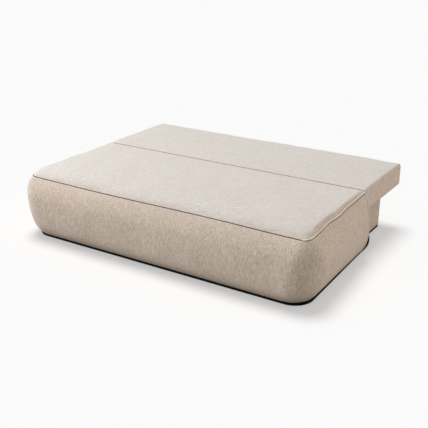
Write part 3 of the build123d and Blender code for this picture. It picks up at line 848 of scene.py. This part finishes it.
def chenille(name, lying, paintedShadedSides):
    material, tree, shader = startMaterial(
        name, {"Roughness": 0.92, "Sheen Weight": 0.2, "Sheen Roughness": 0.5, "Specular IOR Level": 0.2})
    coordinates = addNode(tree, "ShaderNodeTexCoord")
    place = coordinates.outputs["Object"]
    facing = addNode(tree, "ShaderNodeSeparateXYZ", {"Vector": coordinates.outputs["Normal"]}).outputs
    someUp, allUp = fabric["paintedLightFacingUp"]
    upright = addNode(tree, "ShaderNodeMapRange",
                      {"Value": facing["Z"], "From Min": someUp, "From Max": allUp},
                      interpolation_type="SMOOTHSTEP").outputs["Result"]
    sideways = addNode(tree, "ShaderNodeMath", {0: facing["X"]}, operation="ABSOLUTE").outputs[0]
    someAside, allAside = fabric["paintedShadeFacingAside"]
    clearOfSideShade = addNode(tree, "ShaderNodeMapRange",
                    {"Value": sideways, "From Min": someAside, "From Max": allAside,
                     "To Min": 1.0, "To Max": 0.0},
                    interpolation_type="SMOOTHSTEP").outputs["Result"]
    # painted light and shade: the pale colour where the cloth faces up, the darker one where it faces aside;
    # the same share also turns the yarns
    paintedLightAndYarnWay = addNode(tree, "ShaderNodeMath", {0: upright, 1: clearOfSideShade}, operation="MULTIPLY").outputs[0]
    cloud = addNode(tree, "ShaderNodeTexNoise",
                    {"Vector": place, "Scale": millimetres(fabric["cloud"]), "Detail": 2.0, "Roughness": 0.5})
    yarns = []
    for along in (2, 0):  # upright yarns on the sides, yarns across on the lying surface
        scale = [millimetres(fabric["yarn"])] * 3
        scale[along] = millimetres(fabric["yarnRun"])
        drawn = addNode(tree, "ShaderNodeMapping", {"Vector": place, "Scale": scale})
        yarns.append(addNode(tree, "ShaderNodeTexNoise",
                             {"Vector": drawn.outputs["Vector"], "Scale": 1.0, "Detail": 3.0,
                              "Roughness": 0.65, "Distortion": 0.6}))
    yarn = addNode(tree, "ShaderNodeMix", {0: paintedLightAndYarnWay, 2: yarns[0].outputs["Fac"], 3: yarns[1].outputs["Fac"]})
    fleck = addNode(tree, "ShaderNodeTexNoise",
                    {"Vector": place, "Scale": millimetres(fabric["fleck"]), "Detail": 2.0})
    fleckShare = 1 - fabric["cloudShare"] - fabric["yarnShare"]
    pile = addNode(tree, "ShaderNodeMath", {0: cloud.outputs["Fac"], 1: fabric["cloudShare"]},
                   operation="MULTIPLY")
    pile = addNode(tree, "ShaderNodeMath", {0: yarn.outputs[0], 1: fabric["yarnShare"], 2: pile.outputs[0]},
                   operation="MULTIPLY_ADD")
    pile = addNode(tree, "ShaderNodeMath", {0: fleck.outputs["Fac"], 1: fleckShare, 2: pile.outputs[0]},
                   operation="MULTIPLY_ADD")
    # a lit and a shaded copy of the cloth's colour, painted light and shade
    shades = []
    for dark, middling, pale in (paintedShadedSides, lying):
        ramp = addNode(tree, "ShaderNodeValToRGB", {"Fac": pile.outputs[0]})
        stops = ramp.color_ramp.elements
        stops[0].position, stops[0].color = 0.38, colour(dark)
        stops[1].position, stops[1].color = 0.62, colour(pale)
        stops.new(0.5).color = colour(middling)
        shades.append(ramp.outputs["Color"])
    shade = addNode(tree, "ShaderNodeMix", {0: paintedLightAndYarnWay, 6: shades[0], 7: shades[1]}, data_type="RGBA")
    tree.links.new(shade.outputs[2], shader.inputs["Base Color"])
    bump = addNode(tree, "ShaderNodeBump",
                   {"Height": pile.outputs[0], "Strength": 0.5, "Distance": fabric["pileHeight"]})
    tree.links.new(bump.outputs["Normal"], shader.inputs["Normal"])
    return material


beigeChenille = chenille("chenilleBeige", fabric["lying"], fabric["paintedShadedSides"])
# the piping's paler colour all round is a painted highlight
paleHighlightChenille = chenille("chenillePipingPaintedHighlight", fabric["piping"], fabric["piping"])


def plainFinish(name, hexCode, roughness, drift, speckSize, metallic=0.0, grainAxis=None, grainRun=1.0,
                bumpStrength=0.3, specular=0.5):
    # a finish whose colour drifts between two near tones
    material, tree, shader = startMaterial(
        name, {"Roughness": roughness, "Metallic": metallic, "Specular IOR Level": specular})
    place = addNode(tree, "ShaderNodeTexCoord").outputs["Object"]
    scale = [millimetres(speckSize)] * 3
    if grainAxis is not None:
        scale[grainAxis] /= grainRun
    drawn = addNode(tree, "ShaderNodeMapping", {"Vector": place, "Scale": scale})
    speckle = addNode(tree, "ShaderNodeTexNoise",
                      {"Vector": drawn.outputs[0], "Scale": 1.0, "Detail": 6.0, "Roughness": 0.6})
    tone = colour(hexCode)[:3]
    ramp = addNode(tree, "ShaderNodeValToRGB", {"Fac": speckle.outputs["Fac"]})
    stops = ramp.color_ramp.elements
    stops[0].position, stops[0].color = 0.3, (*[value * (1 - drift) for value in tone], 1)
    stops[1].position, stops[1].color = 0.7, (*[min(value * (1 + drift), 1) for value in tone], 1)
    tree.links.new(ramp.outputs["Color"], shader.inputs["Base Color"])
    bump = addNode(tree, "ShaderNodeBump",
                   {"Height": speckle.outputs["Fac"], "Strength": bumpStrength, "Distance": 0.0003})
    tree.links.new(bump.outputs["Normal"], shader.inputs["Normal"])
    return material


# Particle board: pressed chips, sanded, so a matt tan with fine flecks
particleBoard = plainFinish("particleBoardSanded", "#b99b72", 0.85, 0.22, 6)
# Spruce: planed, straight grain, matt
spruceAcross = plainFinish("sprucePlanedAcross", "#cdaa78", 0.7, 0.18, 9, grainAxis=0, grainRun=25)
spruceUpright = plainFinish("sprucePlanedUpright", "#cdaa78", 0.7, 0.18, 9, grainAxis=2, grainRun=25)
# Beech: bent laminated slats, lacquered, so a soft satin
beech = plainFinish("beechLacquered", "#d8b98c", 0.45, 0.12, 7, grainAxis=1, grainRun=30)
# Polypropylene: moulded, fine matt texture
blackPolypropylene = plainFinish("polypropyleneMoulded", "#050404", 0.8, 0.12, 3, specular=0.08)
# Steel: zinc plated, dull bluish grey with a faint crystal pattern
zincSteel = plainFinish("steelZincPlated", "#b4b6b8", 0.38, 0.10, 5, metallic=1.0)
# Steel: powder coated black, fine orange peel
coatedSteel = plainFinish("steelPowderCoated", "#1c1c1d", 0.42, 0.10, 1.5)
# Thermoplastic rubber: moulded tyre, matt
tyreRubber = plainFinish("rubberMoulded", "#26272a", 0.75, 0.15, 2)
# Polypropylene fleece: spun-bonded dust cloth, black and dull
dustFleece = plainFinish("fleeceSpunBonded", "#1b1a19", 0.95, 0.25, 2, bumpStrength=0.5)
# Polyester thread: spun, brown, the dark line of the seam, painting the shade in its groove and the shadow
# under the side piping
seamShadeThread = plainFinish("threadSeamPaintedShade", "#6f503c", 0.9, 0.2, 3, bumpStrength=0.5, specular=0.1)
# The same thread in dark beige, a fainter line on the panel: painted shade of the gap between seat and panel
gapShadeThread = plainFinish("threadGapPaintedShade", "#9c8572", 0.9, 0.2, 3, bumpStrength=0.5, specular=0.1)

finishes = {
    "board": particleBoard, "timber": spruceAcross, "slat_wood": beech, "black_plastic": blackPolypropylene,
    "zinc_steel": zincSteel, "black_steel": coatedSteel, "wheel_rubber": tyreRubber,
    "lining_cloth": dustFleece, "side_fabric": beigeChenille, "top_fabric": beigeChenille,
}
slotOf = {row["node"]: row["material_slot"] for row in frame["record"]["subparts"]}
for nodeName, node in frame["nodes"].items():
    # the corner blocks are the only timber that stands upright
    finish = spruceUpright if nodeName == "base_corner_blocks" else finishes[slotOf[nodeName]]
    for materialSlot in node.material_slots:
        materialSlot.material = finish


def dress(piece, finish):
    piece.data.materials.clear()
    piece.data.materials.append(finish)


for piece in (seatShell, seatCushion, seatRearCover, backPad, baseCover, supportPad):
    dress(piece, beigeChenille)
for piece in (seatPiping, *edgePipings):
    dress(piece, paleHighlightChenille)
dress(seamShadeLine, seamShadeThread)
dress(panelGapShadeLine, gapShadeThread)
dress(dustCloth, dustFleece)
print("stage: materials")

# Floor, light and camera
studio = {
    "floorSize": 60,
    "white": 0.955,  # what the camera sees of floor and sky
    "floorTone": 0.97,
    "floorBounce": 0.52,  # what the floor gives back to the object
    "floorGlow": 0.40,  # share of the floor's white that shadows don't darken
    "glowStrength": 1.03,
    "sky": 0.305,
    # strength, width in degrees, where it stands, tint
    "suns": {
        "keyLeft": (1.97, 40, (-0.72, -0.31, 0.43), "#f5f9ff"),
        "fillRight": (0.92, 60, (0.70, 0.52, 0.50), "#fff6ee"),
        "overhead": (0.32, 60, (0.10, 0.05, 0.99), "#ffffff"),
        "floorLight": (2.08, 26, (-0.21, 0.17, 0.96), "#ffffff"),
    },
    "softbox": {
        "watts": 23,
        "size": 1.4,
        "place": (-2.3, -1.3, 1.9),
        "aim": (-0.4, -0.3, 0.4),
        "tint": "#f6faff",
    },
}


def seenByCamera(tree):
    # 1 for the rays that show the backdrop: camera, mirror and glass
    rays = addNode(tree, "ShaderNodeLightPath").outputs
    seen = addNode(tree, "ShaderNodeMath", {0: rays["Is Camera Ray"], 1: rays["Is Glossy Ray"]},
                   operation="MAXIMUM")
    seen = addNode(tree, "ShaderNodeMath", {0: seen.outputs[0], 1: rays["Is Transmission Ray"]},
                   operation="MAXIMUM")
    return seen.outputs[0]


floorData = bpy.data.meshes.new("studioFloor")
reach = studio["floorSize"]
floorData.from_pydata([(-reach, -reach, 0), (reach, -reach, 0), (reach, reach, 0), (-reach, reach, 0)],
                      [], [(0, 1, 2, 3)])
floor = putInScene("studioFloor", floorData)
floorMaterial, tree, shader = startMaterial("floorPaintedWhite", {"Roughness": 1.0, "Specular IOR Level": 0.0})
seen = seenByCamera(tree)
tone = addNode(tree, "ShaderNodeMapRange",
               {"Value": seen, "To Min": studio["floorBounce"], "To Max": studio["floorTone"]})
tree.links.new(tone.outputs[0], shader.inputs["Base Color"])
glow = addNode(tree, "ShaderNodeEmission", {"Color": (1, 1, 1, 1), "Strength": studio["glowStrength"]})
share = addNode(tree, "ShaderNodeMath", {0: seen, 1: studio["floorGlow"]}, operation="MULTIPLY")
both = addNode(tree, "ShaderNodeMixShader", {0: share.outputs[0], 1: shader.outputs[0], 2: glow.outputs[0]})
tree.links.new(both.outputs[0], tree.nodes["Material Output"].inputs["Surface"])
dress(floor, floorMaterial)

world = bpy.data.worlds.new("studioSky")
bpy.context.scene.world = world
world.use_nodes = True
tree = world.node_tree
tree.nodes.clear()
strength = addNode(tree, "ShaderNodeMapRange",
                   {"Value": seenByCamera(tree), "To Min": studio["sky"], "To Max": studio["white"]})
skyLight = addNode(tree, "ShaderNodeBackground", {"Color": (1, 1, 1, 1), "Strength": strength.outputs[0]})
addNode(tree, "ShaderNodeOutputWorld", {"Surface": skyLight.outputs[0]})


def addLight(name, kind, energy, towards, tint):
    data = bpy.data.lights.new(name, kind)
    data.energy = energy
    data.color = colour(tint)[:3]
    light = putInScene(name, data)
    light.rotation_mode = "QUATERNION"
    light.rotation_quaternion = towards.to_track_quat("Z", "Y")
    return light


lights = {}
for name, (energy, width, towards, tint) in studio["suns"].items():
    lights[name] = addLight(name, "SUN", energy, Vector(towards), tint)
    lights[name].data.angle = math.radians(width)
softbox = studio["softbox"]
softboxFacing = Vector(softbox["place"]) - Vector(softbox["aim"])
lights["softbox"] = addLight("softbox", "AREA", softbox["watts"], softboxFacing, softbox["tint"])
lights["softbox"].data.size = softbox["size"]
lights["softbox"].location = softbox["place"]
# The floor has its own light, from above and a little behind, so that it stays evenly white and its shadow
# short. The other lights leave it out.
for name, light in lights.items():
    receivers = bpy.data.collections.new(f"{name}Receivers")
    receivers.objects.link(floor)
    receivers.collection_objects[0].light_linking.link_state = "INCLUDE" if name == "floorLight" else "EXCLUDE"
    light.light_linking.receiver_collection = receivers

view = {
    "target": (-0.0848, 0.1065, 0.0535),
    "distance": 4.892,
    "azimuth": 32.469,  # degrees
    "elevation": 21.461,
    "lens": 62.03,  # mm
    "sensor": 36.0,
}
azimuth, elevation = math.radians(view["azimuth"]), math.radians(view["elevation"])
towardsCamera = Vector((math.sin(azimuth) * math.cos(elevation), -math.cos(azimuth) * math.cos(elevation),
                        math.sin(elevation)))
cameraData = bpy.data.cameras.new("camera")
cameraData.lens = view["lens"]
cameraData.sensor_width = view["sensor"]
camera = putInScene("camera", cameraData)
camera.location = Vector(view["target"]) + towardsCamera * view["distance"]
camera.rotation_mode = "QUATERNION"
camera.rotation_quaternion = towardsCamera.to_track_quat("Z", "Y")
bpy.context.scene.camera = camera
bpy.context.scene.view_settings.view_transform = "Standard"
